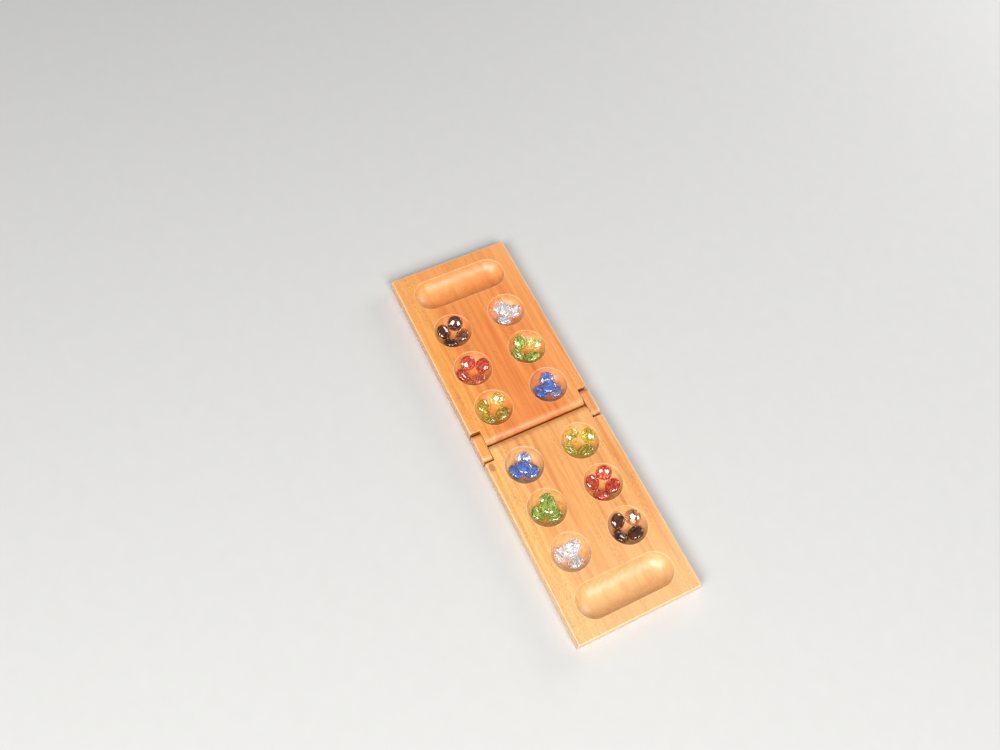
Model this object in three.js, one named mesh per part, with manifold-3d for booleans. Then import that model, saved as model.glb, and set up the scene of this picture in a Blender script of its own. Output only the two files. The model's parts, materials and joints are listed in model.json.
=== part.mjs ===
// A folding mancala board with its glass stones.
//
// Two hardwood leaves lie end to end along X. Each has a long store at its outer end and six round pits in
// two rows. Their inner ends are rounded over the full thickness and meet at x = 0. At each side a short
// wooden link sits in notches of both leaves, and two steel pins join it to them, so that either leaf can
// turn a quarter turn up or down about its own pins and the board folds flat on itself.
// Every pit holds four flat-bottomed glass stones.
//
// Millimetres. X runs along the board, Y across it (front is -Y), Z up. The underside is at z = 0.

import * as THREE from "three";
import { mergeVertices } from "three/addons/utils/BufferGeometryUtils.js";
import Module from "manifold-3d";

const wasm = await Module();
wasm.setup();

// ---- Driving dimensions ----

const BOARD_LENGTH = 440;
const BOARD_WIDTH = 136.6;
const THICKNESS = 17;
const LEAF_GAP = 0.3; // between the two rounded inner ends

const PIT_RADIUS = 20.3; // at the rim
const PIT_DEPTH = 12.8;
const PIT_FIRST_X = 35.5; // from the middle of the board to the nearest pit
const PIT_PITCH = 50.3;
const PIT_ROW_Y = 32.3;

const STORE_X = 187.3;
const STORE_LENGTH = 106; // across the board
const STORE_WIDTH = 37;
const STORE_DEPTH = 11.5;

const LINK_WIDTH = 10.2;
const LINK_REACH = 7.6; // from a pin to the link's end
const LINK_END_RADIUS = 6.5;
const LINK_END_GAP = 1.5;
const LINK_SIDE_GAP = 0.4;

const PIN_RADIUS = 1.5;
const PIN_HOLE_RADIUS = 1.75;
const PIN_RECESS = 0.4; // below the link's outer face
const PIN_DEPTH = 13; // into the leaf
const PIN_CHAMFER = 0.3;
const PIN_END_GAP = 0.5;

const STONE_DIAMETER = 17;
const STONE_HEIGHT = 5.8;
const STONE_BASE_RADIUS = 6.1; // of the flat underside
const STONE_WAIST = 2.3; // height of the widest place
const STONE_EDGE_INSET = 0.5; // the rounding below the waist, at STONE_EDGE_HEIGHT
const STONE_EDGE_HEIGHT = 1;
const STONE_DOME_FULLNESS = 0.8; // 1 is an ellipse, less is fuller
const STONE_GAP = 0.3; // between stones
const SEAT_GAP = 0.45; // between a stone's underside and the wood

// The stone that lies on three others.
const TOP_STONE_Z = THICKNESS - 4;
const TOP_STONE_OFFSET = 2.2;
const TOP_STONE_TILT = THREE.MathUtils.degToRad(10);

// ---- Facets ----

const NOSE_STEPS = 10;
const PIT_SIDES = 32;
const BOWL_STEPS = 5;
const HOLE_SIDES = 16;
const LINK_END_STEPS = 4;
const STONE_SIDES = 12;
const STONE_DOME_STEPS = 3;
const OVERSHOOT = 4; // how far a cutter stands out of what it cuts

// ---- Derived places ----

const PIN_X = (THICKNESS + LEAF_GAP) / 2;
const PIN_Z = THICKNESS / 2;
const LINK_LENGTH = 2 * (PIN_X + LINK_REACH);
const LINK_INNER_Y = BOARD_WIDTH / 2 - LINK_WIDTH;
const NOTCH_X = PIN_X + LINK_REACH + LINK_END_GAP;
const NOTCH_Y = LINK_INNER_Y - LINK_SIDE_GAP;

// The pits from the left end to the right. A ring is four stones leaning on the bowl's wall, of which the
// first and third lie deeper, by flex; a pile is three, with a fourth on top. turn is the direction of the
// first stone, and over the way that the top stone is shifted. All are in degrees, directions from +X.
const FRONT_PITS = [
  { glass: "amber", lay: "ring", turn: 55, flex: 4 },
  { glass: "red", lay: "ring", turn: 5, flex: 2.5 },
  { glass: "yellow", lay: "ring", turn: 45, flex: 4 },
  { glass: "blue", lay: "pile", turn: 155, over: -30 },
  { glass: "green", lay: "pile", turn: 150, over: 100 },
  { glass: "clear", lay: "pile", turn: 130, over: 165 },
];
const BACK_PITS = [
  { glass: "clear", lay: "pile", turn: 200, over: 220 },
  { glass: "green", lay: "ring", turn: 12, flex: 2 },
  { glass: "blue", lay: "pile", turn: 160, over: 5 },
  { glass: "yellow", lay: "ring", turn: 15, flex: 4 },
  { glass: "red", lay: "ring", turn: 55, flex: 3.5 },
  { glass: "amber", lay: "ring", turn: 30, flex: 3 },
];

// ---- Materials ----

const glass = (color) => new THREE.MeshStandardMaterial({ color, roughness: 0.05, metalness: 0 });
const materials = {
  wood: new THREE.MeshStandardMaterial({ color: 0xf0a562, roughness: 0.45, metalness: 0 }),
  linkWood: new THREE.MeshStandardMaterial({ color: 0xf2b673, roughness: 0.45, metalness: 0 }),
  steel: new THREE.MeshStandardMaterial({ color: 0xb8b8ba, roughness: 0.3, metalness: 1 }),
  clear: glass(0xf2f0ee),
  green: glass(0x5fae2c),
  blue: glass(0x2c50d8),
  yellow: glass(0xd2bf2a),
  red: glass(0xd93222),
  amber: glass(0x5a2c1c),
};

// ---- Geometry helpers ----

// A closed geometry as a solid that can be joined and cut.
function solidOf(geometry) {
  const bare = geometry.clone();
  bare.deleteAttribute("normal");
  bare.deleteAttribute("uv");
  const merged = mergeVertices(bare, 1e-4);
  return new wasm.Manifold(
    new wasm.Mesh({
      numProp: 3,
      vertProperties: merged.attributes.position.array,
      triVerts: new Uint32Array(merged.index.array),
    }),
  );
}

function geometryOf(solid) {
  const mesh = solid.getMesh();
  const geometry = new THREE.BufferGeometry();
  geometry.setAttribute("position", new THREE.BufferAttribute(mesh.vertProperties, 3));
  geometry.setIndex(new THREE.BufferAttribute(mesh.triVerts, 1));
  geometry.computeVertexNormals();
  return geometry;
}

// Extrudes an outline drawn in X and Z along Y, from y0 to y1.
function alongY(shape, y0, y1, curveSegments) {
  const geometry = new THREE.ExtrudeGeometry(shape, { depth: y1 - y0, bevelEnabled: false, curveSegments });
  return geometry.rotateX(Math.PI / 2).translate(0, y1, 0);
}

function boxBetween(low, high) {
  const size = high.map((v, i) => v - low[i]);
  const middle = high.map((v, i) => (v + low[i]) / 2);
  return new THREE.BoxGeometry(...size).translate(...middle);
}

// A rod along Y through (x, PIN_Z), from y0 to y1.
function rodAlongY(radius, x, y0, y1) {
  const rod = new THREE.CylinderGeometry(radius, radius, y1 - y0, HOLE_SIDES);
  return rod.translate(x, (y0 + y1) / 2, PIN_Z);
}

// ---- The hollows ----

// Half of a round bowl's section: from the bottom up its arc to the rim, then straight up past the top face.
function bowlSection(rimRadius, depth) {
  const radius = (rimRadius ** 2 + depth ** 2) / (2 * depth);
  const spread = Math.asin(rimRadius / radius);
  const points = [];
  for (let i = 0; i <= BOWL_STEPS; i++) {
    const a = (spread * i) / BOWL_STEPS;
    points.push(new THREE.Vector2(radius * Math.sin(a), radius * (1 - Math.cos(a)) - depth));
  }
  points[0].x = 0;
  points.push(new THREE.Vector2(rimRadius, OVERSHOOT));
  return points;
}

// A bowl cutter about Z whose rim lies at z = THICKNESS.
function bowlCutter(rimRadius, depth, x, y) {
  const section = [...bowlSection(rimRadius, depth), new THREE.Vector2(0, OVERSHOOT)];
  const bowl = new THREE.LatheGeometry(section, PIT_SIDES).rotateX(Math.PI / 2);
  return solidOf(bowl.translate(x, y, THICKNESS));
}

// The store is a trough with that section, closed at each end by half a bowl.
function storeCutter() {
  const rimRadius = STORE_WIDTH / 2;
  const endY = STORE_LENGTH / 2 - rimRadius;
  const half = bowlSection(rimRadius, STORE_DEPTH);
  const mirrored = half.slice(1).map((p) => new THREE.Vector2(-p.x, p.y));
  const outline = new THREE.Shape([...half, ...mirrored.reverse()]);
  const trough = solidOf(alongY(outline, -endY, endY, 1).translate(STORE_X, 0, THICKNESS));
  const front = bowlCutter(rimRadius, STORE_DEPTH, STORE_X, -endY);
  const back = bowlCutter(rimRadius, STORE_DEPTH, STORE_X, endY);
  return trough.add(front).add(back);
}

// ---- The pieces ----

// The leaf on the right; the one on the left is the same leaf turned half a turn about Z.
function leafGeometry() {
  const outline = new THREE.Shape();
  outline.moveTo(PIN_X, 0);
  outline.lineTo(BOARD_LENGTH / 2, 0);
  outline.lineTo(BOARD_LENGTH / 2, THICKNESS);
  outline.lineTo(PIN_X, THICKNESS);
  outline.absarc(PIN_X, PIN_Z, THICKNESS / 2, Math.PI / 2, 1.5 * Math.PI, false);
  let leaf = solidOf(alongY(outline, -BOARD_WIDTH / 2, BOARD_WIDTH / 2, NOSE_STEPS));

  leaf = leaf.subtract(storeCutter());
  for (let i = 0; i < 3; i++) {
    const x = PIT_FIRST_X + i * PIT_PITCH;
    leaf = leaf.subtract(bowlCutter(PIT_RADIUS, PIT_DEPTH, x, -PIT_ROW_Y));
    leaf = leaf.subtract(bowlCutter(PIT_RADIUS, PIT_DEPTH, x, PIT_ROW_Y));
  }

  const outerY = BOARD_WIDTH / 2 + OVERSHOOT;
  for (const side of [-1, 1]) {
    const [y0, y1] = [side * NOTCH_Y, side * outerY].sort((a, b) => a - b);
    const notch = boxBetween([-OVERSHOOT, y0, -OVERSHOOT], [NOTCH_X, y1, THICKNESS + OVERSHOOT]);
    const holeEnd = LINK_INNER_Y - PIN_DEPTH - PIN_END_GAP;
    const [h0, h1] = [side * holeEnd, side * outerY].sort((a, b) => a - b);
    leaf = leaf.subtract(solidOf(notch));
    leaf = leaf.subtract(solidOf(rodAlongY(PIN_HOLE_RADIUS, PIN_X, h0, h1)));
  }
  return geometryOf(leaf);
}

// The link at the back; the front one is the same link turned about Z.
function linkGeometry() {
  const x = LINK_LENGTH / 2 - LINK_END_RADIUS;
  const low = LINK_END_RADIUS;
  const high = THICKNESS - LINK_END_RADIUS;
  const outline = new THREE.Shape();
  outline.absarc(x, low, LINK_END_RADIUS, -Math.PI / 2, 0, false);
  outline.absarc(x, high, LINK_END_RADIUS, 0, Math.PI / 2, false);
  outline.absarc(-x, high, LINK_END_RADIUS, Math.PI / 2, Math.PI, false);
  outline.absarc(-x, low, LINK_END_RADIUS, Math.PI, 1.5 * Math.PI, false);
  let link = solidOf(alongY(outline, LINK_INNER_Y, BOARD_WIDTH / 2, LINK_END_STEPS));
  for (const pinX of [-PIN_X, PIN_X]) {
    const hole = rodAlongY(PIN_HOLE_RADIUS, pinX, LINK_INNER_Y - OVERSHOOT, BOARD_WIDTH / 2 + OVERSHOOT);
    link = link.subtract(solidOf(hole));
  }
  return geometryOf(link);
}

// A pin along Y with its middle at the origin.
function pinGeometry() {
  const length = LINK_WIDTH - PIN_RECESS + PIN_DEPTH;
  const end = length / 2;
  const section = [
    new THREE.Vector2(0, -end),
    new THREE.Vector2(PIN_RADIUS - PIN_CHAMFER, -end),
    new THREE.Vector2(PIN_RADIUS, PIN_CHAMFER - end),
    new THREE.Vector2(PIN_RADIUS, end - PIN_CHAMFER),
    new THREE.Vector2(PIN_RADIUS - PIN_CHAMFER, end),
    new THREE.Vector2(0, end),
  ];
  return new THREE.LatheGeometry(section, HOLE_SIDES);
}

// A stone stands on z = 0: a flat underside, a full round edge and a domed top.
function stoneGeometry() {
  const radius = STONE_DIAMETER / 2;
  const domeHeight = STONE_HEIGHT - STONE_WAIST;
  const section = [
    new THREE.Vector2(0, 0),
    new THREE.Vector2(STONE_BASE_RADIUS, 0),
    new THREE.Vector2(radius - STONE_EDGE_INSET, STONE_EDGE_HEIGHT),
  ];
  for (let i = 0; i < STONE_DOME_STEPS; i++) {
    const a = ((Math.PI / 2) * i) / STONE_DOME_STEPS;
    const r = radius * Math.cos(a) ** STONE_DOME_FULLNESS;
    section.push(new THREE.Vector2(r, STONE_WAIST + domeHeight * Math.sin(a)));
  }
  section.push(new THREE.Vector2(0, STONE_HEIGHT));
  return new THREE.LatheGeometry(section, STONE_SIDES).rotateX(Math.PI / 2);
}

// ---- Assembly ----

const board = new THREE.Group();

function addPiece(name, geometry, material, parent = board) {
  const mesh = new THREE.Mesh(geometry, material);
  mesh.name = name;
  parent.add(mesh);
  return mesh;
}

function addBoard() {
  const leaf = leafGeometry();
  addPiece("right_leaf", leaf, materials.wood);
  addPiece("left_leaf", leaf, materials.wood).rotation.z = Math.PI;
}

function addHinge() {
  const link = linkGeometry();
  addPiece("back_hinge_link", link, materials.linkWood);
  addPiece("front_hinge_link", link, materials.linkWood).rotation.z = Math.PI;

  const pin = pinGeometry();
  const pinY = (BOARD_WIDTH / 2 - PIN_RECESS + LINK_INNER_Y - PIN_DEPTH) / 2;
  for (const [row, rowSign] of [["front", -1], ["back", 1]]) {
    for (const [side, sideSign] of [["left", -1], ["right", 1]]) {
      const mesh = addPiece(`${row}_${side}_hinge_pin`, pin, materials.steel);
      mesh.position.set(sideSign * PIN_X, rowSign * pinY, PIN_Z);
    }
  }
}

const UP = new THREE.Vector3(0, 0, 1);
const stone = stoneGeometry();

// Seats count stones side by side on the bowl's wall, each one square to the wall below it. Neighbours' edges
// meet halfway, so the angle between them at the bowl's centre is the same all round.
function addLeaningStones(pit, prefix, count, material) {
  const bowlRadius = (PIT_RADIUS ** 2 + PIT_DEPTH ** 2) / (2 * PIT_DEPTH);
  const seat = Math.sqrt(bowlRadius ** 2 - STONE_BASE_RADIUS ** 2) - SEAT_GAP;
  const between = 2 * Math.atan((STONE_DIAMETER + STONE_GAP) / 2 / (seat - STONE_WAIST));
  const round = 1 - Math.cos((2 * Math.PI) / count);
  const evenLean = Math.asin(Math.sqrt((1 - Math.cos(between)) / round));
  const deepLean = evenLean - THREE.MathUtils.degToRad(pit.flex ?? 0);
  const highLean = pit.flex ? Math.acos(Math.cos(between) / Math.cos(deepLean)) : evenLean;
  for (let i = 0; i < count; i++) {
    const turn = THREE.MathUtils.degToRad(pit.turn) + (2 * Math.PI * i) / count;
    const lean = i % 2 ? highLean : deepLean;
    const inward = new THREE.Vector3(
      -Math.sin(lean) * Math.cos(turn),
      -Math.sin(lean) * Math.sin(turn),
      Math.cos(lean),
    );
    const mesh = addPiece(`${prefix}_stone_${"abcd"[i]}`, stone, material);
    mesh.position.set(pit.x, pit.y, THICKNESS - PIT_DEPTH + bowlRadius).addScaledVector(inward, -seat);
    mesh.quaternion.setFromUnitVectors(UP, inward);
  }
}

function addStones(row, rowSign, pits) {
  pits.forEach((pit, i) => {
    const prefix = `${row}_pit${i + 1}`;
    const place = i < 3 ? i - 3 : i - 2; // -3 to -1 on the left leaf, 1 to 3 on the right
    pit.x = Math.sign(place) * (PIT_FIRST_X + (Math.abs(place) - 1) * PIT_PITCH);
    pit.y = rowSign * PIT_ROW_Y;
    const material = materials[pit.glass];
    if (pit.lay === "ring") {
      addLeaningStones(pit, prefix, 4, material);
      return;
    }
    addLeaningStones(pit, prefix, 3, material);
    const over = THREE.MathUtils.degToRad(pit.over);
    const top = addPiece(`${prefix}_stone_d`, stone, material);
    const [dx, dy] = [TOP_STONE_OFFSET * Math.cos(over), TOP_STONE_OFFSET * Math.sin(over)];
    top.position.set(pit.x + dx, pit.y + dy, TOP_STONE_Z);
    top.rotation.set(TOP_STONE_TILT * Math.sin(over), -TOP_STONE_TILT * Math.cos(over), 0);
  });
}

addBoard();
addHinge();
addStones("front", -1, FRONT_PITS);
addStones("back", 1, BACK_PITS);

export default board;
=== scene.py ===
"""The folding mancala board's visual model: wooden leaves and hinge links, steel pins, and 48 glass stones
with coloured ribbons inside, each on its CAD body. Sizes are in millimetres, and MM turns them into
metres."""

import json
import math
import random
from typing import NamedTuple

import bmesh
import bpy
import numpy as np
from mathutils import Matrix, Vector


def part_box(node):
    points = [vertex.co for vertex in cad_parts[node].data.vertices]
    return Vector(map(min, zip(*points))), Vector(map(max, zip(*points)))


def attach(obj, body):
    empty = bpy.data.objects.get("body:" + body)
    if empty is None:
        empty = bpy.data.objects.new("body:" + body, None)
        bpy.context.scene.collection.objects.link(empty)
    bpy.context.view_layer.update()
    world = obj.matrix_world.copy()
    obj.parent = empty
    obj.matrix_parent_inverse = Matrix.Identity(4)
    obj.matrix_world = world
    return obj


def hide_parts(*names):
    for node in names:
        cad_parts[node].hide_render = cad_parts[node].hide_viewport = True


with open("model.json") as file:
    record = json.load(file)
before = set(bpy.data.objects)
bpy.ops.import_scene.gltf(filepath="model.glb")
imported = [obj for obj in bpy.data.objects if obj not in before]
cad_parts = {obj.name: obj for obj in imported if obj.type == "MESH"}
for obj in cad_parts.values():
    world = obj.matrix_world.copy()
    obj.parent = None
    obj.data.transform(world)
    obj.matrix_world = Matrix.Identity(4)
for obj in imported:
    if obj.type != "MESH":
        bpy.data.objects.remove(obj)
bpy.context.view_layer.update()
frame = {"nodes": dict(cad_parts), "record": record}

MM = 0.001

# ---- Sizes, from the frame where it has them ----

leaf_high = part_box("right_leaf")[1]
link_low, link_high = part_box("back_hinge_link")
pin_low, pin_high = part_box("back_right_hinge_pin")
SKIN = 0.001  # how far the wood's sides stay inside the CAD box
HALF_LENGTH = leaf_high.x / MM
HALF_WIDTH = leaf_high.y / MM - SKIN
THICKNESS = leaf_high.z / MM
LINK_HALF = link_high.x / MM
LINK_INNER_Y = link_low.y / MM
PIN_X = (pin_low.x + pin_high.x) / 2 / MM
PIN_Z = THICKNESS / 2
PIN_RADIUS = 1.5
PIN_DOME = 0.45

PIT_RADIUS = 20.3
PIT_DEPTH = 12.8
PIT_XS = (35.5, 85.8, 136.1)
PIT_ROW_Y = 32.3
STORE_X = 187.3
STORE_LENGTH = 106
STORE_WIDTH = 37
STORE_DEPTH = 11.5
STORE_HALF_RUN = (STORE_LENGTH - STORE_WIDTH) / 2  # from the store's middle to the centre of a round end
NOTCH_X = LINK_HALF + 1.5
NOTCH_Y = LINK_INNER_Y - 0.4
PIN_HOLE_RADIUS = 1.75
PIN_HOLE_END_Y = LINK_INNER_Y - 13.5

CORNER_RADIUS = 1.0  # of the board's long section
EDGE_EASE = 0.85  # rounding of its end edges
NOTCH_EASE = 0.45
LINK_END_RADIUS = 6.5
RIM_EASE = 0.5  # rounding of the rims of pits and stores
RIM_LIFT = 0.012  # how far the rim's rounding stands over the top face, so that the two cross cleanly
BOWL_CENTRE = 0.4  # radius of the flat face that closes a bowl's bottom
CLEAR_OF = 4  # how far a cutter stands out of the wood
INNER_PART_X = 60  # where the leaf's inner part ends, within its wider part

PIT_SIDES = 112
ARC_STEPS = 20
EDGE_STEPS = 4
NOSE_STEPS = 24
HOLE_SIDES = 32
PIN_DOME_STEPS = 5

STONE_RADIUS = 8.5
STONE_HEIGHT = 5.8
STONE_BASE_RADIUS = 6.1
STONE_WAIST = 2.3
STONE_CENTRE = 0.35  # radius of the first ring of its underside
STONE_SIDES = 48
DOME_STEPS = 12
DOME_END = 0.995  # how far up the dome's quarter turn its last ring is
DOME_ROUNDNESS = 0.85
UNDER_STEPS = 6

# The form under a stone's skin that holds its ribbons: its radius, and its height over and under the waist.
CORE_RADIUS = 7.75
CORE_OVER = 2.7
CORE_UNDER = 1.9
RIBBON_STEPS = 18
RIBBON_SIDES = 12
RIBBON_TIP = 0.06  # share of its width that a ribbon keeps at its ends

# The largest angle between faces, in degrees, that is shaded as one smooth surface.
WOOD_SMOOTH = 32
PIN_SMOOTH = 50
GLASS_SMOOTH = 80


# ---- Meshes ----


def new_object(name, mesh, material):
    mesh.materials.clear()
    mesh.materials.append(material)
    piece = bpy.data.objects.new(name, mesh)
    bpy.context.collection.objects.link(piece)
    return piece


def mesh_from(name, points, faces):
    mesh = bpy.data.meshes.new(name)
    mesh.from_pydata([tuple(c * MM for c in p) for p in points], [], faces)
    work = bmesh.new()
    work.from_mesh(mesh)
    bmesh.ops.recalc_face_normals(work, faces=work.faces)
    work.to_mesh(mesh)
    work.free()
    return mesh


def shade(mesh, angle):
    mesh.polygons.foreach_set("use_smooth", [True] * len(mesh.polygons))
    mesh.set_sharp_from_angle(angle=math.radians(angle))


def ring_faces(rings, sides):
    """Faces between rings of `sides` points each, with one face over each end."""
    faces = [tuple(range(sides))]
    for k in range(rings - 1):
        for i in range(sides):
            j = (i + 1) % sides
            faces.append((k * sides + i, k * sides + j, (k + 1) * sides + j, (k + 1) * sides + i))
    faces.append(tuple((rings - 1) * sides + i for i in range(sides)))
    return faces


def rounded_outline(corners):
    """Points and outward normals of a rectangle in X and Z with round corners, each (x, z, radius, steps).
    They go anticlockwise from the corner at high X and low Z."""
    points, normals = [], []
    for k, (x, z, radius, steps) in enumerate(corners):
        middle = (k - 0.5) * math.pi / 2
        cx = x - math.copysign(radius, math.cos(middle))
        cz = z - math.copysign(radius, math.sin(middle))
        for i in range(steps + 1):
            a = (k - 1 + i / steps) * math.pi / 2
            points.append((cx + radius * math.cos(a), cz + radius * math.sin(a)))
            normals.append((math.cos(a), math.sin(a)))
    return points, normals


def eased_block(name, corners, y0, y1, ease):
    """The outline drawn along Y from y0 to y1, with its two end edges rounded."""
    points, normals = rounded_outline(corners)
    start = []
    for i in range(EDGE_STEPS, -1, -1):
        a = i / EDGE_STEPS * math.pi / 2
        start.append((y0 + ease * (1 - math.sin(a)), ease * (1 - math.cos(a))))
    rows = start + [(y0 + y1 - y, inset) for y, inset in reversed(start)]
    rings = []
    for y, inset in rows:
        rings += [(x - nx * inset, y, z - nz * inset) for (x, z), (nx, nz) in zip(points, normals)]
    return mesh_from(name, rings, ring_faces(len(rows), len(points)))


def hollow_section(rim_radius, depth):
    """Radius and height of a bowl's section from its bottom to its rounded rim, over the top face."""
    radius = (rim_radius**2 + depth**2) / (2 * depth)
    centre = radius - depth
    rim_z = RIM_LIFT - RIM_EASE
    rim_x = math.sqrt((radius + RIM_EASE) ** 2 - (centre - rim_z) ** 2)
    first = BOWL_CENTRE / radius
    spread = math.atan2(rim_x, centre - rim_z)
    section = []
    for i in range(ARC_STEPS + 1):
        a = first + (spread - first) * i / ARC_STEPS
        section.append((radius * math.sin(a), centre - radius * math.cos(a)))
    for i in range(1, 2 * EDGE_STEPS + 1):
        a = math.pi / 2 + spread * (1 - i / (2 * EDGE_STEPS))
        section.append((rim_x + RIM_EASE * math.cos(a), rim_z + RIM_EASE * math.sin(a)))
    section.append((rim_x, CLEAR_OF))
    return section


def hollow_cutter(x, y, rim_radius, depth, half_run=0):
    """What a bowl takes out, drawn out along Y by half_run each way."""
    turns = []
    for i in range(PIT_SIDES):
        run = half_run if i < PIT_SIDES / 2 else -half_run
        turns.append((2 * math.pi * i / PIT_SIDES, run))
    if half_run:
        turns.insert(PIT_SIDES // 2, (math.pi, half_run))
        turns.append((0, -half_run))
    section = hollow_section(rim_radius, depth)
    points = []
    for r, z in section:
        points += [(x + r * math.cos(a), y + run + r * math.sin(a), THICKNESS + z) for a, run in turns]
    return mesh_from("cutter", points, ring_faces(len(section), len(turns)))


def rod_mesh(name, x, rows):
    """A rod along Y about x and PIN_Z through rows of (y, radius)."""
    points = []
    for y, r in rows:
        for i in range(HOLE_SIDES):
            a = 2 * math.pi * i / HOLE_SIDES
            points.append((x + r * math.cos(a), y, PIN_Z + r * math.sin(a)))
    return mesh_from(name, points, ring_faces(len(rows), HOLE_SIDES))


def combined(mesh, others, operation):
    """The mesh joined with the others, or with them cut out."""
    base = bpy.data.objects.new("base", mesh)
    tools = [bpy.data.objects.new("tool", m) for m in others]
    for o in [base, *tools]:
        bpy.context.collection.objects.link(o)
    for tool in tools:
        step = base.modifiers.new("step", "BOOLEAN")
        step.operation = operation
        step.solver = "EXACT"
        step.object = tool
    graph = bpy.context.evaluated_depsgraph_get()
    made = bpy.data.meshes.new_from_object(base.evaluated_get(graph))
    for o in [base, *tools]:
        bpy.data.objects.remove(o)
    return made


def cleaned(mesh):
    """Joins points that lie on each other and drops faces without area."""
    same = 1e-7
    work = bmesh.new()
    work.from_mesh(mesh)
    bmesh.ops.remove_doubles(work, verts=work.verts, dist=same)
    bmesh.ops.dissolve_degenerate(work, edges=work.edges, dist=same)
    work.to_mesh(mesh)
    work.free()
    return mesh


def leaf_mesh():
    """The right leaf. The wider part and the part between the notches are two eased blocks, so that the
    notches' edges are rounded too."""
    nose = [
        (INNER_PART_X, 0, CORNER_RADIUS, EDGE_STEPS),
        (INNER_PART_X, THICKNESS, CORNER_RADIUS, EDGE_STEPS),
        (PIN_X - PIN_Z, THICKNESS, PIN_Z, NOSE_STEPS),
        (PIN_X - PIN_Z, 0, PIN_Z, NOSE_STEPS),
    ]
    wide = [
        (HALF_LENGTH, 0, CORNER_RADIUS, EDGE_STEPS),
        (HALF_LENGTH, THICKNESS, CORNER_RADIUS, EDGE_STEPS),
        (NOTCH_X, THICKNESS, CORNER_RADIUS, EDGE_STEPS),
        (NOTCH_X, 0, CORNER_RADIUS, EDGE_STEPS),
    ]
    inner = eased_block("inner", nose, -NOTCH_Y, NOTCH_Y, NOTCH_EASE)
    outer = eased_block("outer", wide, -HALF_WIDTH, HALF_WIDTH, EDGE_EASE)
    body = combined(outer, [inner], "UNION")
    cutters = [hollow_cutter(STORE_X, 0, STORE_WIDTH / 2, STORE_DEPTH, STORE_HALF_RUN)]
    for side in (-1, 1):
        cutters += [hollow_cutter(x, side * PIT_ROW_Y, PIT_RADIUS, PIT_DEPTH) for x in PIT_XS]
        ends = sorted((side * PIN_HOLE_END_Y, side * (HALF_WIDTH + CLEAR_OF)))
        cutters.append(rod_mesh("cutter", PIN_X, [(y, PIN_HOLE_RADIUS) for y in ends]))
    return cleaned(combined(body, cutters, "DIFFERENCE"))


def link_mesh():
    """The back link: a block with fully rounded ends and two pin holes."""
    corners = [
        (LINK_HALF, 0, LINK_END_RADIUS, 3 * EDGE_STEPS),
        (LINK_HALF, THICKNESS, LINK_END_RADIUS, 3 * EDGE_STEPS),
        (-LINK_HALF, THICKNESS, LINK_END_RADIUS, 3 * EDGE_STEPS),
        (-LINK_HALF, 0, LINK_END_RADIUS, 3 * EDGE_STEPS),
    ]
    body = eased_block("body", corners, LINK_INNER_Y, HALF_WIDTH, NOTCH_EASE)
    ends = [(LINK_INNER_Y - CLEAR_OF, PIN_HOLE_RADIUS), (HALF_WIDTH + CLEAR_OF, PIN_HOLE_RADIUS)]
    holes = [rod_mesh("cutter", x, ends) for x in (-PIN_X, PIN_X)]
    return cleaned(combined(body, holes, "DIFFERENCE"))


def pin_mesh(node):
    """A steel pin with domed ends, as long as its node."""
    low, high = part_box(node)
    y0, y1 = low.y / MM, high.y / MM
    x = (low.x + high.x) / 2 / MM
    rows = []
    for i in range(PIN_DOME_STEPS + 1):
        a = i / PIN_DOME_STEPS * math.pi / 2
        rows.append((y0 + PIN_DOME * (1 - math.cos(a)), PIN_RADIUS - PIN_DOME * (1 - math.sin(a))))
    rows += [(y0 + y1 - y, r) for y, r in reversed(rows)]
    return rod_mesh(node, x, rows)


# ---- The stones ----


class Ribbons(NamedTuple):
    """The make of a stone's ribbons: how many, how far apart, and their smallest and largest sizes."""

    count: int
    spread: float
    half_width: tuple
    half_thick: tuple


def stone_frame(node):
    """Where a stone lies, from its CAD node: the middle of its underside and the way its dome faces, in
    metres."""
    mesh = frame["nodes"][node].data
    points = np.empty(len(mesh.vertices) * 3)
    mesh.vertices.foreach_get("co", points)
    points = np.unique(points.reshape(-1, 3).round(6), axis=0)
    middle = points.mean(axis=0)
    axis = np.linalg.eigh(np.cov((points - middle).T))[1][:, 0]
    along = (points - middle) @ axis
    near = 1e-5
    if (along > along.max() - near).sum() > (along < along.min() + near).sum():
        axis, along = -axis, -along
    return Vector(middle + axis * along.min()), Vector(axis)


def stone_section():
    """Radius and height of a stone's section: a flat underside, a round edge and a dome."""
    section = [(STONE_CENTRE, 0)]
    for i in range(UNDER_STEPS + 1):
        a = math.pi / 2 * (1 - i / UNDER_STEPS)
        r = STONE_BASE_RADIUS + (STONE_RADIUS - STONE_BASE_RADIUS) * math.cos(a)
        section.append((r, STONE_WAIST * (1 - math.sin(a))))
    for i in range(1, DOME_STEPS + 1):
        a = math.pi / 2 * min(i / DOME_STEPS, DOME_END)
        r = STONE_RADIUS * math.cos(a) ** DOME_ROUNDNESS
        section.append((r, STONE_WAIST + (STONE_HEIGHT - STONE_WAIST) * math.sin(a)))
    return section


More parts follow.
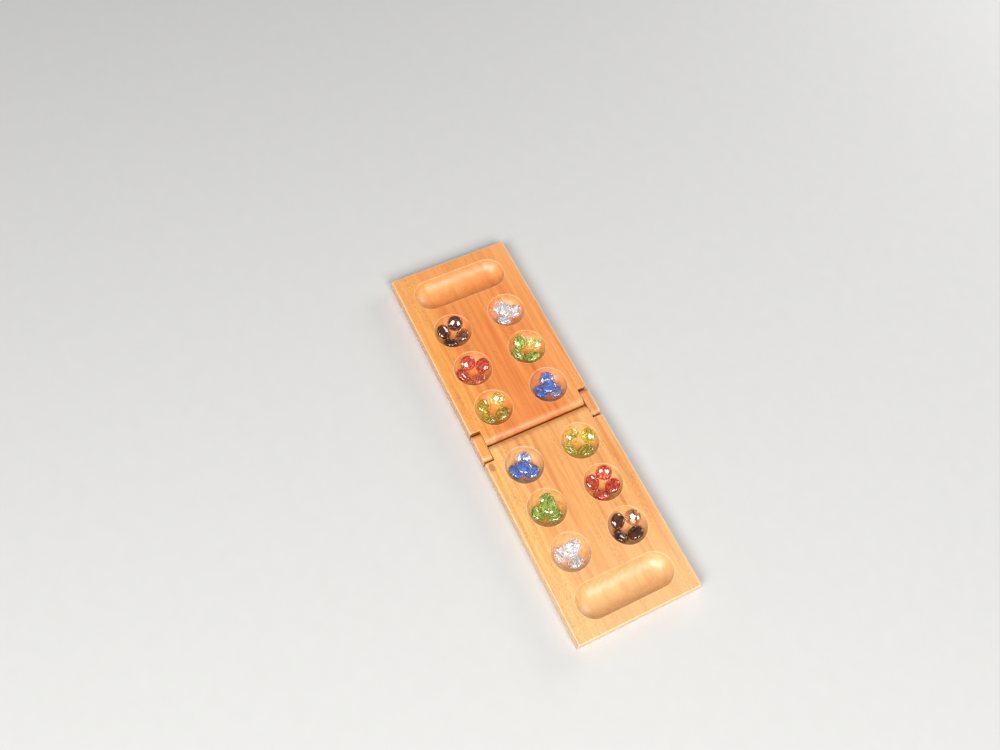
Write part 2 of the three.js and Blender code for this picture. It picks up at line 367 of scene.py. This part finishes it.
def stone_mesh(name, draw):
    """One stone standing on z = 0, drawn a little oval, three-sided, low and off its middle."""
    oval_turn, three_turn = draw.uniform(0, math.tau), draw.uniform(0, math.tau)
    oval, three = draw.uniform(0.01, 0.03), draw.uniform(0.003, 0.010)
    tall = draw.uniform(0.94, 1)
    peak_x, peak_y = draw.uniform(-0.4, 0.4), draw.uniform(-0.4, 0.4)
    section = stone_section()
    points = []
    for r, z in section:
        over = max(0.0, z - STONE_WAIST)
        lean = (over / (STONE_HEIGHT - STONE_WAIST)) ** 2
        height = z if z <= STONE_WAIST else STONE_WAIST + over * tall
        for k in range(STONE_SIDES):
            a = math.tau * k / STONE_SIDES
            shape = 1 - oval * (1 - math.cos(2 * a + oval_turn)) - three * (1 - math.cos(3 * a + three_turn))
            x, y = r * shape * math.cos(a), r * shape * math.sin(a)
            points.append((x + peak_x * lean, y + peak_y * lean, height))
    return mesh_from(name, points, ring_faces(len(section), STONE_SIDES))


def held_inside(x, y, z):
    """The point, drawn in to the form that holds the ribbons."""
    up = z - STONE_WAIST
    tall = CORE_OVER if up > 0 else CORE_UNDER
    far = max(1, math.sqrt((x * x + y * y) / CORE_RADIUS**2 + (up / tall) ** 2))
    return (x / far, y / far, STONE_WAIST + up / far)


def swirl_mesh(name, draw, ribbons):
    """Bent and twisted ribbons of coloured glass, tapering to points, that fill the inside of one stone."""
    points, faces = [], []
    up = Vector((0, 0, 1))
    turn = draw.uniform(0, math.pi)
    for n in range(ribbons.count):
        heading = turn + draw.uniform(-0.35, 0.35)
        place = ribbons.spread * (n - (ribbons.count - 1) / 2) + draw.uniform(-0.3, 0.3)
        half_run = draw.uniform(6.4, 7.4)
        bend = draw.uniform(-1.5, 1.5)
        height = STONE_WAIST + draw.uniform(-0.5, 0.9)
        rise = draw.uniform(-0.5, 0.5)
        half_width = draw.uniform(*ribbons.half_width)
        half_thick = draw.uniform(*ribbons.half_thick)
        tilt = draw.uniform(-0.7, 0.7)
        twist = draw.uniform(0.5, 1.5) * draw.choice((-1, 1))
        ahead = Vector((math.cos(heading), math.sin(heading), 0))
        aside = Vector((-ahead.y, ahead.x, 0))
        first = len(points)
        for i in range(RIBBON_STEPS + 1):
            s = -1 + 2 * i / RIBBON_STEPS
            taper = max(RIBBON_TIP, max(0.0, 1 - s * s) ** 0.4)
            ripple = 1 + 0.25 * math.sin(3 * s + n)
            middle = ahead * s * half_run + aside * (place + bend * math.sin(math.pi * s))
            middle += up * (height + rise * s)
            a = tilt + twist * s
            across = (aside * math.cos(a) + up * math.sin(a)) * half_width * ripple * taper
            through = (up * math.cos(a) - aside * math.sin(a)) * half_thick * taper
            for k in range(RIBBON_SIDES):
                b = math.tau * k / RIBBON_SIDES
                points.append(held_inside(*(middle + across * math.cos(b) + through * math.sin(b))))
        faces += [tuple(first + v for v in f) for f in ring_faces(RIBBON_STEPS + 1, RIBBON_SIDES)]
    return mesh_from(name, points, faces)


# ---- Materials ----


class Graph:
    """One material's nodes."""

    def __init__(self, name):
        self.material = bpy.data.materials.new(name)
        self.material.use_nodes = True
        self.tree = self.material.node_tree
        self.tree.nodes.clear()

    def node(self, kind, inputs=None, **settings):
        made = self.tree.nodes.new("ShaderNode" + kind)
        for key, value in settings.items():
            setattr(made, key, value)
        for key, value in (inputs or {}).items():
            if isinstance(value, bpy.types.NodeSocket):
                self.tree.links.new(value, made.inputs[key])
            else:
                made.inputs[key].default_value = value
        return made

    def math(self, operation, a, b=0.0, clamp=False):
        return self.node("Math", {0: a, 1: b}, operation=operation, use_clamp=clamp).outputs[0]

    def product(self, first, *others):
        for other in others:
            first = self.math("MULTIPLY", first, other)
        return first

    def away(self, value, place):
        """How far the value is from a place, either way."""
        return self.math("ABSOLUTE", self.math("SUBTRACT", value, place))

    def reach(self, a, b):
        """The length of the side across from the right angle between a and b."""
        return self.math("SQRT", self.math("ADD", self.product(a, a), self.product(b, b)))

    def mix(self, share, a, b, blend="MIX"):
        colours = {6: a, 7: b}
        full = {k: v if isinstance(v, bpy.types.NodeSocket) else (*v, 1) for k, v in colours.items()}
        return self.node("Mix", {0: share, **full}, data_type="RGBA", blend_type=blend).outputs[2]

    def stain(self, share, tone, colour):
        """The tone with a share of it multiplied by a colour."""
        return self.mix(share, tone, self.mix(1.0, tone, colour, "MULTIPLY"))

    def span(self, value, low, high, to_low=0.0, to_high=1.0):
        inputs = {0: value, 1: low, 2: high, 3: to_low, 4: to_high}
        return self.node("MapRange", inputs, interpolation_type="SMOOTHSTEP").outputs[0]

    def span_mm(self, value, low, high, to_low=0.0, to_high=1.0):
        """A span over a place or distance, between two in millimetres."""
        return self.span(value, low * MM, high * MM, to_low, to_high)

    def place(self, scale, shift=(0, 0, 0)):
        where = self.node("TexCoord").outputs["Object"]
        return self.node("Mapping", {"Vector": where, "Scale": scale, "Location": shift}).outputs[0]

    def noise(self, vector, detail=3.0, rough=0.5, distortion=0.0):
        inputs = {"Vector": vector, "Scale": 1.0, "Detail": detail, "Roughness": rough}
        return self.node("TexNoise", inputs | {"Distortion": distortion}).outputs["Fac"]

    def finish(self, surface):
        self.node("OutputMaterial", {"Surface": surface})
        return self.material


class Wood(Graph):
    """Straight-grained light hardwood along X. Shift is where in the tree it comes from."""

    def __init__(self, name, shift):
        super().__init__(name)
        self.shift = shift
        split = self.node("SeparateXYZ", {0: self.node("TexCoord").outputs["Object"]})
        self.x, self.y, self.z = (split.outputs[axis] for axis in "XYZ")
        self.far_x = self.math("ABSOLUTE", self.x)
        self.far_y = self.math("ABSOLUTE", self.y)
        self.far_z = self.away(self.z, PIN_Z * MM)
        self.fibres = self.grain((30, 1000, 1000), 3.0, 0.6)
        self.streaks = self.grain((9, 230, 230), 4.0, 0.6)

    def grain(self, scale, *noise):
        return self.noise(self.place(scale, self.shift), *noise)

    def growth_rings(self):
        """Rings about a line along X far below, drawn out along the grain."""
        drawn_out = 0.13
        centre = (self.shift[0] * drawn_out, *self.shift[1:])
        inputs = {"Vector": self.place((drawn_out, 1, 1), centre), "Scale": 46.0}
        inputs |= {"Distortion": 6.0, "Detail": 3.0, "Detail Scale": 0.35}
        settings = {"wave_type": "RINGS", "rings_direction": "X", "wave_profile": "SAW"}
        return self.node("TexWave", inputs, **settings).outputs["Fac"]

    def strip_shares(self):
        """The shares of the strips of other boards that are glued in along the front and back edges."""
        wander = self.product(self.math("SUBTRACT", self.grain((8, 20, 20)), 0.5), 30 * MM)
        across = self.math("ADD", self.y, wander)
        return self.span_mm(across, -50, -36, 1.0, 0.0), self.span_mm(across, 36, 56)

    def knotted(self, tone, x, y, half_x, half_y):
        """The tone with a dark ringed knot."""
        off_x = self.math("DIVIDE", self.math("SUBTRACT", self.x, x * MM), half_x * MM)
        off_y = self.math("DIVIDE", self.math("SUBTRACT", self.y, y * MM), half_y * MM)
        ragged = self.product(self.math("SUBTRACT", self.streaks, 0.5), 0.9)
        off = self.math("ADD", self.reach(off_x, off_y), ragged)
        rings = self.span(self.math("SINE", self.product(off, 14.0)), -0.6, 1.0, 0.5, 0.95)
        return self.mix(self.product(self.span(off, 0.4, 1.1, 1.0, 0.0), rings), tone, (0.52, 0.14, 0.025))

    def pores(self, front_edge):
        """Short dashes along the grain, denser in places and in the front strip."""
        inputs = {"Vector": self.place((270, 1600, 1600), self.shift), "Scale": 1.0, "Randomness": 1.0}
        dash = self.node("TexVoronoi", inputs, feature="F1").outputs["Distance"]
        crowd = self.math("ADD", self.grain((14, 60, 60), 2.0), self.product(front_edge, 0.12))
        size = self.span(crowd, 0.40, 0.70, 0.14, 0.40)
        inside = self.math("SUBTRACT", 1.0, self.math("DIVIDE", dash, size), clamp=True)
        return self.span(inside, 0.0, 0.45)

    def gap_shade_share(self, is_link):
        """The share of painted shade on the links' ends and inner sides, or on the notches round them, below
        the top edge, where they face the gaps of the hinge.
        """
        if is_link:
            at_end = self.span_mm(self.far_x, LINK_HALF - 1.6, LINK_HALF - 0.4)
            at_side = self.span_mm(self.far_y, LINK_INNER_Y + 0.1, LINK_INNER_Y + 0.5, 1.0, 0.0)
            share = self.math("MAXIMUM", at_end, at_side)
        else:
            at_end = self.span_mm(self.far_x, NOTCH_X + 0.1, NOTCH_X + 0.6, 1.0, 0.0)
            at_side = self.span_mm(self.far_y, NOTCH_Y - 0.6, NOTCH_Y - 0.1)
            share = self.product(at_end, at_side)
        return self.product(share, self.span_mm(self.far_z, PIN_Z - 2.2, PIN_Z - 0.7, 1.0, 0.0))

    def crevice_shade_share(self):
        """The share of the dark line painted as shade in the crevice where the two noses meet."""
        beside = self.span_mm(self.far_x, 1.2, 3, 1.0, 0.0)
        return self.product(beside, self.span_mm(self.far_z, 1.6, 5.2, 1.0, 0.0))

    def off_rims(self):
        """The distance to the nearest rim of a pit or store."""
        past_run = self.math("MAXIMUM", self.math("SUBTRACT", self.far_y, STORE_HALF_RUN * MM), 0.0)
        from_store = self.reach(self.math("SUBTRACT", self.far_x, STORE_X * MM), past_run)
        nearest = self.away(from_store, (STORE_WIDTH / 2 + 0.1) * MM)
        off_row = self.math("SUBTRACT", self.far_y, PIT_ROW_Y * MM)
        for x in PIT_XS:
            from_pit = self.reach(self.math("SUBTRACT", self.far_x, x * MM), off_row)
            nearest = self.math("MINIMUM", nearest, self.away(from_pit, (PIT_RADIUS + 0.1) * MM))
        return nearest

    def wear_and_highlight_share(self):
        """The share painted pale along the rims and the outer edges, unevenly: partly handling wear, partly
        a painted highlight where their rounding catches the light.
        """
        on_top = self.span_mm(self.z, THICKNESS - 1, THICKNESS - 0.5)
        rim = self.product(self.span_mm(self.off_rims(), 0.2, 0.75, 0.5, 0.0), on_top)
        at_x = self.span_mm(self.far_x, HALF_LENGTH - 1.5, HALF_LENGTH - 0.6)
        at_y = self.span_mm(self.far_y, HALF_WIDTH - 1.5, HALF_WIDTH - 0.6)
        at_z = self.span_mm(self.far_z, PIN_Z - 1.3, PIN_Z - 0.5)
        share = rim
        for one, other in ((at_y, at_z), (at_x, at_z), (at_x, at_y)):
            share = self.math("MAXIMUM", share, self.product(one, other))
        return self.product(share, self.span(self.grain((60, 160, 160)), 0.25, 0.6, 0.4, 0.75))


def wood(name, shift, light, deep, front_strip, back_strip, pale=None, knot=None, is_link=False):
    """Satin-varnished wood, a mottle of two tones with a strip along each edge. Pale is how much the outer
    end differs, from how far out and in what tone. Knot is the middle and half-size of a dark knot."""
    g = Wood(name, shift)
    tone = g.mix(g.span(g.grain((7, 30, 30), 2.0), 0.3, 0.7), light, deep)
    front_edge, back_edge = g.strip_shares()
    tone = g.mix(front_edge, tone, front_strip)
    tone = g.mix(back_edge, tone, back_strip)
    tone = g.stain(g.product(g.span(g.growth_rings(), 0.45, 1.0), 0.55), tone, (0.86, 0.66, 0.46))
    tone = g.stain(g.span(g.streaks, 0.42, 0.68, 0.0, 0.9), tone, (0.86, 0.68, 0.50))
    tone = g.stain(g.span(g.fibres, 0.38, 0.68, 0.0, 0.85), tone, (1.08, 1.22, 1.45))
    if pale:
        share, start, colour = pale
        tone = g.mix(g.span_mm(g.far_x, start, HALF_LENGTH, 0.0, share), tone, colour)
    if knot:
        tone = g.knotted(tone, *knot)
    pores = g.pores(front_edge)
    tone = g.stain(g.product(pores, 0.6), tone, (0.42, 0.26, 0.16))
    if not is_link:
        # Painted shade: a near-black line in the crevice where the two noses meet.
        tone = g.mix(g.product(g.crevice_shade_share(), 0.85), tone, (0.10, 0.035, 0.012))
    # Painted shade on the faces that look into the gaps between the links and the notches.
    tone = g.stain(g.product(g.gap_shade_share(is_link), 0.7), tone, (0.36, 0.24, 0.16))
    # Pale rims and outer edges: handling wear, and a painted highlight along their rounding.
    tone = g.mix(g.wear_and_highlight_share(), tone, (0.95, 0.70, 0.42))

    relief = g.math("SUBTRACT", g.product(g.fibres, 0.25), pores)
    surface = g.node(
        "BsdfPrincipled",
        {
            "Base Color": tone,
            "Roughness": g.math("ADD", g.span(g.streaks, 0.3, 0.7, 0.34, 0.44), g.product(pores, 0.2)),
            "Normal": g.node("Bump", {"Height": relief, "Strength": 0.4, "Distance": 0.14 * MM}).outputs[0],
            "IOR": 1.48,
            "Coat Weight": 1.0,
            "Coat Roughness": 0.45,
            "Coat IOR": 1.68,
        },
    )
    return g.finish(surface.outputs[0])


def steel():
    """Drawn wire: scratched along its length, with dull spots."""
    g = Graph("pin_steel")
    scratches = g.noise(g.place((2500, 120, 2500)), 4.0, 0.6)
    spots = g.noise(g.place((500, 500, 500)), 2.0)
    relief = {"Height": scratches, "Strength": 0.2, "Distance": 0.03 * MM}
    surface = g.node(
        "BsdfPrincipled",
        {
            "Base Color": g.mix(g.span(spots, 0.4, 0.8), (0.56, 0.56, 0.57), (0.40, 0.38, 0.36)),
            "Metallic": 1.0,
            "Roughness": g.span(scratches, 0.3, 0.7, 0.22, 0.42),
            "Normal": g.node("Bump", relief).outputs[0],
        },
    )
    return g.finish(surface.outputs[0])


def clear_glass(name, tint, milk):
    """Tinted glass with a milky share, that lets lamp light through to what lies in and under it."""
    g = Graph(name)
    marks = g.noise(g.place((260, 260, 260)), 2.0)
    glass = g.node(
        "BsdfPrincipled",
        {
            "Base Color": (*tint, 1),
            "Transmission Weight": 1.0 - milk,
            "Roughness": g.span(marks, 0.35, 0.75, 0.02, 0.06),
            "IOR": 1.48,
            "Normal": g.node("Bump", {"Height": marks, "Strength": 0.02, "Distance": 0.3 * MM}).outputs[0],
            "Coat Weight": 1.0,
            "Coat Roughness": 0.012,
            "Coat IOR": 1.7,
        },
    )
    through = g.node("BsdfTransparent", {"Color": (*[0.86 * c**0.3 for c in tint], 1)})
    lamp = g.node("LightPath").outputs["Is Shadow Ray"]
    return g.finish(g.node("MixShader", {0: lamp, 1: glass.outputs[0], 2: through.outputs[0]}).outputs[0])


def swirl_glass(name, dark, main, light):
    """The coloured ribbons: streaks of three tones that run and fold like poured glass."""
    g = Graph(name)
    flow = g.noise(g.place((90, 120, 240)), 3.0, 0.5, 1.0)
    veins = g.noise(g.place((190, 150, 380), (3.1, 1.7, 0.4)), 2.0, 0.5, 1.6)
    tone = g.mix(g.span(flow, 0.3, 0.56), dark, main)
    tone = g.mix(g.span(veins, 0.50, 0.72), tone, light)
    surface = g.node(
        "BsdfPrincipled",
        {
            "Base Color": tone,
            "Roughness": g.span(flow, 0.3, 0.7, 0.3, 0.5),
            "Subsurface Weight": 0.4,
            "Subsurface Radius": (0.004, 0.003, 0.002),
            "Subsurface Scale": 0.4,
        },
    )
    return g.finish(surface.outputs[0])


WOODS = {
    "left_leaf": wood(
        "leaf_wood_left",
        shift=(0.31, 0.012, 0.055),
        light=(0.86, 0.297, 0.061),
        deep=(0.80, 0.23, 0.043),
        front_strip=(0.88, 0.37, 0.078),
        back_strip=(0.88, 0.34, 0.090),
        pale=(0.35, 130, (0.92, 0.45, 0.15)),
    ),
    "right_leaf": wood(
        "leaf_wood_right",
        shift=(1.73, -0.02, 0.06),
        light=(0.84, 0.395, 0.124),
        deep=(0.83, 0.36, 0.105),
        front_strip=(0.88, 0.475, 0.15),
        back_strip=(0.84, 0.385, 0.118),
        pale=(0.50, 100, (0.90, 0.57, 0.265)),
        knot=(24.5, -63.5, 6.5, 4.0),
    ),
    "links": wood(
        "link_wood",
        shift=(2.9, 0.1, 0.09),
        light=(0.86, 0.37, 0.11),
        deep=(0.82, 0.32, 0.08),
        front_strip=(0.87, 0.35, 0.07),
        back_strip=(0.82, 0.34, 0.11),
        is_link=True,
    ),
}
STEEL = steel()

MANY = Ribbons(4, 3.1, (2.0, 3.0), (0.7, 1.0))
SOME = Ribbons(4, 3.2, (1.2, 2.2), (0.4, 0.7))
FEW = Ribbons(3, 3.4, (0.5, 1.1), (0.15, 0.3))
VEIL = Ribbons(3, 3.0, (0.8, 2.0), (0.10, 0.2))
WISP = Ribbons(2, 3.6, (0.8, 1.4), (0.12, 0.25))


class Glass(NamedTuple):
    """The clear glass's tint and milky share, the ribbons' three tones and their make."""

    tint: tuple
    milk: float
    dark: tuple
    main: tuple
    light: tuple
    ribbons: Ribbons


GLASS = {
    "clear": Glass(
        (0.88, 0.87, 0.89), 0.15, (0.30, 0.29, 0.29), (0.74, 0.73, 0.73), (0.97, 0.97, 0.97), VEIL
    ),
    "green": Glass(
        (0.70, 0.83, 0.36), 0.09, (0.11, 0.18, 0.015), (0.33, 0.40, 0.06), (0.74, 0.77, 0.34), SOME
    ),
    "blue": Glass(
        (0.50, 0.60, 0.90), 0.10, (0.035, 0.08, 0.28), (0.075, 0.16, 0.46), (0.38, 0.47, 0.70), MANY
    ),
    "yellow": Glass(
        (0.66, 0.68, 0.20), 0.08, (0.24, 0.17, 0.015), (0.46, 0.36, 0.04), (0.92, 0.88, 0.60), FEW
    ),
    "red": Glass(
        (0.84, 0.40, 0.27), 0.06, (0.32, 0.025, 0.015), (0.56, 0.06, 0.025), (0.82, 0.28, 0.13), MANY
    ),
    "amber": Glass(
        (0.44, 0.28, 0.18), 0.03, (0.025, 0.01, 0.01), (0.10, 0.03, 0.022), (0.55, 0.20, 0.08), SOME
    ),
}

# Some stones are paler than their neighbours: a weaker tint and two thin ribbons.
PALER = (
    "front_pit1_stone_a",
    "front_pit2_stone_a",
    "front_pit3_stone_b",
    "front_pit4_stone_a",
    "back_pit2_stone_b",
    "back_pit3_stone_c",
    "back_pit4_stone_c",
    "back_pit6_stone_b",
)
PALE_TINT_POWER = 0.6
PALE_MILK = 0.07

CLEAR = {}
PALE = {}
SWIRL = {}
for key, glass in GLASS.items():
    CLEAR[key] = clear_glass(f"glass_{key}", glass.tint, glass.milk)
    SWIRL[key] = swirl_glass(f"swirl_{key}", glass.dark, glass.main, glass.light)
    if key != "clear":
        PALE[key] = clear_glass(f"glass_pale_{key}", [c**PALE_TINT_POWER for c in glass.tint], PALE_MILK)


# ---- The pieces ----


def add_piece(name, mesh, material, body, nodes=(), smooth=GLASS_SMOOTH):
    shade(mesh, smooth)
    piece = new_object(name, mesh, material)
    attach(piece, body)
    if nodes:
        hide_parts(*nodes)
    return piece


def add_wood(name, mesh, material, body, node):
    """A wooden piece, whose flat faces stay flat in the light beside their rounded edges."""
    piece = add_piece(name, mesh, material, body, [node], WOOD_SMOOTH)
    even = piece.modifiers.new("even_normals", "WEIGHTED_NORMAL")
    even.keep_sharp = True
    even.weight = 50


HALF_TURN = Matrix.Rotation(math.pi, 4, "Z")

right = leaf_mesh()
left = right.copy()
left.transform(HALF_TURN)
for side, mesh in (("right", right), ("left", left)):
    node = f"{side}_leaf"
    add_wood(f"wooden_leaf_{side}", mesh, WOODS[node], node, node)

back = link_mesh()
front = back.copy()
front.transform(HALF_TURN)
for row, mesh in (("front", front), ("back", back)):
    add_wood(f"wooden_link_{row}", mesh, WOODS["links"], "hinge_links", f"{row}_hinge_link")
    for side in ("left", "right"):
        node = f"{row}_{side}_hinge_pin"
        pin = pin_mesh(node)
        add_piece(f"steel_pin_{row}_{side}", pin, STEEL, "hinge_links", [node], PIN_SMOOTH)

FIRST_SEED = 7000
slots = {part["node"]: part["material_slot"] for part in frame["record"]["subparts"]}
stones = sorted(node for node in slots if "_stone_" in node)
for number, node in enumerate(stones):
    draw = random.Random(FIRST_SEED + number)
    body = node.rsplit("_", 2)[0] + "_stones"
    key = slots[node].removeprefix("glass_")
    paler = node in PALER
    base, axis = stone_frame(node)
    turned = Matrix.Translation(base) @ axis.to_track_quat("Z", "Y").to_matrix().to_4x4()
    shell = stone_mesh(f"glass_{node}", draw)
    core = swirl_mesh(f"swirl_{node}", draw, WISP if paler else GLASS[key].ribbons)
    shell.transform(turned)
    core.transform(turned)
    add_piece(f"glass_{node}", shell, PALE[key] if paler else CLEAR[key], body, [node])
    add_piece(f"swirl_{node}", core, SWIRL[key], body)


# ---- Floor, light and camera, in metres ----

FLOOR_HALF = 3
FLOOR_DROP = 0.0002
BACKDROP = (0.96, 0.98, 1.0, 1)
BACKDROP_LIGHT = 0.62

# The camera's place round the board, and its picture angle as a lens in millimetres.
AZIMUTH = math.radians(56.33)
ELEVATION = math.radians(62.63)
ROLL = math.radians(8.32)
DISTANCE = 1.054
TARGET = Vector((-0.0668, -0.0097, 0.017))
LENS = 35.71
SENSOR = 36

level = Vector((math.sin(AZIMUTH), -math.cos(AZIMUTH), 0))
right_hand = Vector((math.cos(AZIMUTH), math.sin(AZIMUTH), 0))
backward = level * math.cos(ELEVATION) + Vector((0, 0, math.sin(ELEVATION)))


def floor():
    """Pale paper, that runs into the backdrop far from the board without an edge."""
    work = bmesh.new()
    bmesh.ops.create_grid(work, x_segments=8, y_segments=8, size=FLOOR_HALF)
    mesh = bpy.data.meshes.new("floor")
    work.to_mesh(mesh)
    work.free()
    g = Graph("floor_paper")
    tone = g.mix(g.noise(g.place((60, 60, 60)), 3.0), (0.60, 0.595, 0.58), (0.63, 0.625, 0.61))
    paper = g.node("BsdfPrincipled", {"Base Color": tone, "Roughness": 0.8})
    glow = g.node("Emission", {"Color": BACKDROP, "Strength": BACKDROP_LIGHT})
    where = g.node("TexCoord").outputs["Object"]
    from_board = g.node("VectorMath", {0: where}, operation="LENGTH").outputs["Value"]
    seen = g.product(g.span(from_board, 0.8, 2.6), g.node("LightPath").outputs["Is Camera Ray"])
    surface = g.node("MixShader", {0: seen, 1: paper.outputs[0], 2: glow.outputs[0]})
    piece = new_object("floor", mesh, g.finish(surface.outputs[0]))
    piece.location = (0, 0, -FLOOR_DROP)


def camera():
    upward = backward.cross(right_hand)
    across = right_hand * math.cos(ROLL) + upward * math.sin(ROLL)
    upward = upward * math.cos(ROLL) - right_hand * math.sin(ROLL)
    data = bpy.data.cameras.new("camera")
    data.lens = LENS
    data.sensor_width = SENSOR
    made = bpy.data.objects.new("camera", data)
    turned = Matrix((across, upward, backward)).transposed().to_4x4()
    made.matrix_world = Matrix.Translation(TARGET + backward * DISTANCE) @ turned
    bpy.context.collection.objects.link(made)
    bpy.context.scene.camera = made


def softbox(name, direction, distance, size, power):
    data = bpy.data.lights.new(name, "AREA")
    data.shape = "RECTANGLE"
    data.size, data.size_y = size
    data.energy = power
    lamp = bpy.data.objects.new(name, data)
    direction = direction.normalized()
    turned = direction.to_track_quat("Z", "Y").to_matrix().to_4x4()
    aimed_at = Vector((0.03, 0, 0))
    lamp.matrix_world = Matrix.Translation(aimed_at + direction * distance) @ turned
    bpy.context.collection.objects.link(lamp)


def studio():
    """A room that is bright overhead and dim towards the floor, with a plain pale backdrop."""
    world = bpy.data.worlds.new("studio")
    world.use_nodes = True
    tree = world.node_tree
    way = tree.nodes.new("ShaderNodeTexCoord").outputs["Generated"]
    split = tree.nodes.new("ShaderNodeSeparateXYZ")
    tree.links.new(way, split.inputs[0])
    height = tree.nodes.new("ShaderNodeMapRange")
    low, high, dim, bright = 0.0, 0.8, 0.045, 0.17
    for i, value in enumerate((low, high, dim, bright)):
        height.inputs[i + 1].default_value = value
    tree.links.new(split.outputs["Z"], height.inputs[0])
    seen = tree.nodes.new("ShaderNodeMix")
    seen.inputs[3].default_value = BACKDROP_LIGHT
    tree.links.new(tree.nodes.new("ShaderNodeLightPath").outputs["Is Camera Ray"], seen.inputs[0])
    tree.links.new(height.outputs[0], seen.inputs[2])
    background = tree.nodes["Background"]
    background.inputs[0].default_value = BACKDROP
    tree.links.new(seen.outputs[0], background.inputs[1])
    bpy.context.scene.world = world


floor()
camera()
overhead = Vector((0, 0, 1)) + level * 0.80
for name, side in (("softbox_left", -1), ("softbox_right", 1)):
    softbox(name, overhead + right_hand * 0.48 * side, 3.0, (1.33, 1.33), 66.0)
softbox("edge_light", Vector((-0.3, 1.0, 0.42)), 1.8, (1.0, 0.5), 10.0)
studio()
bpy.context.scene.view_settings.view_transform = "Standard"
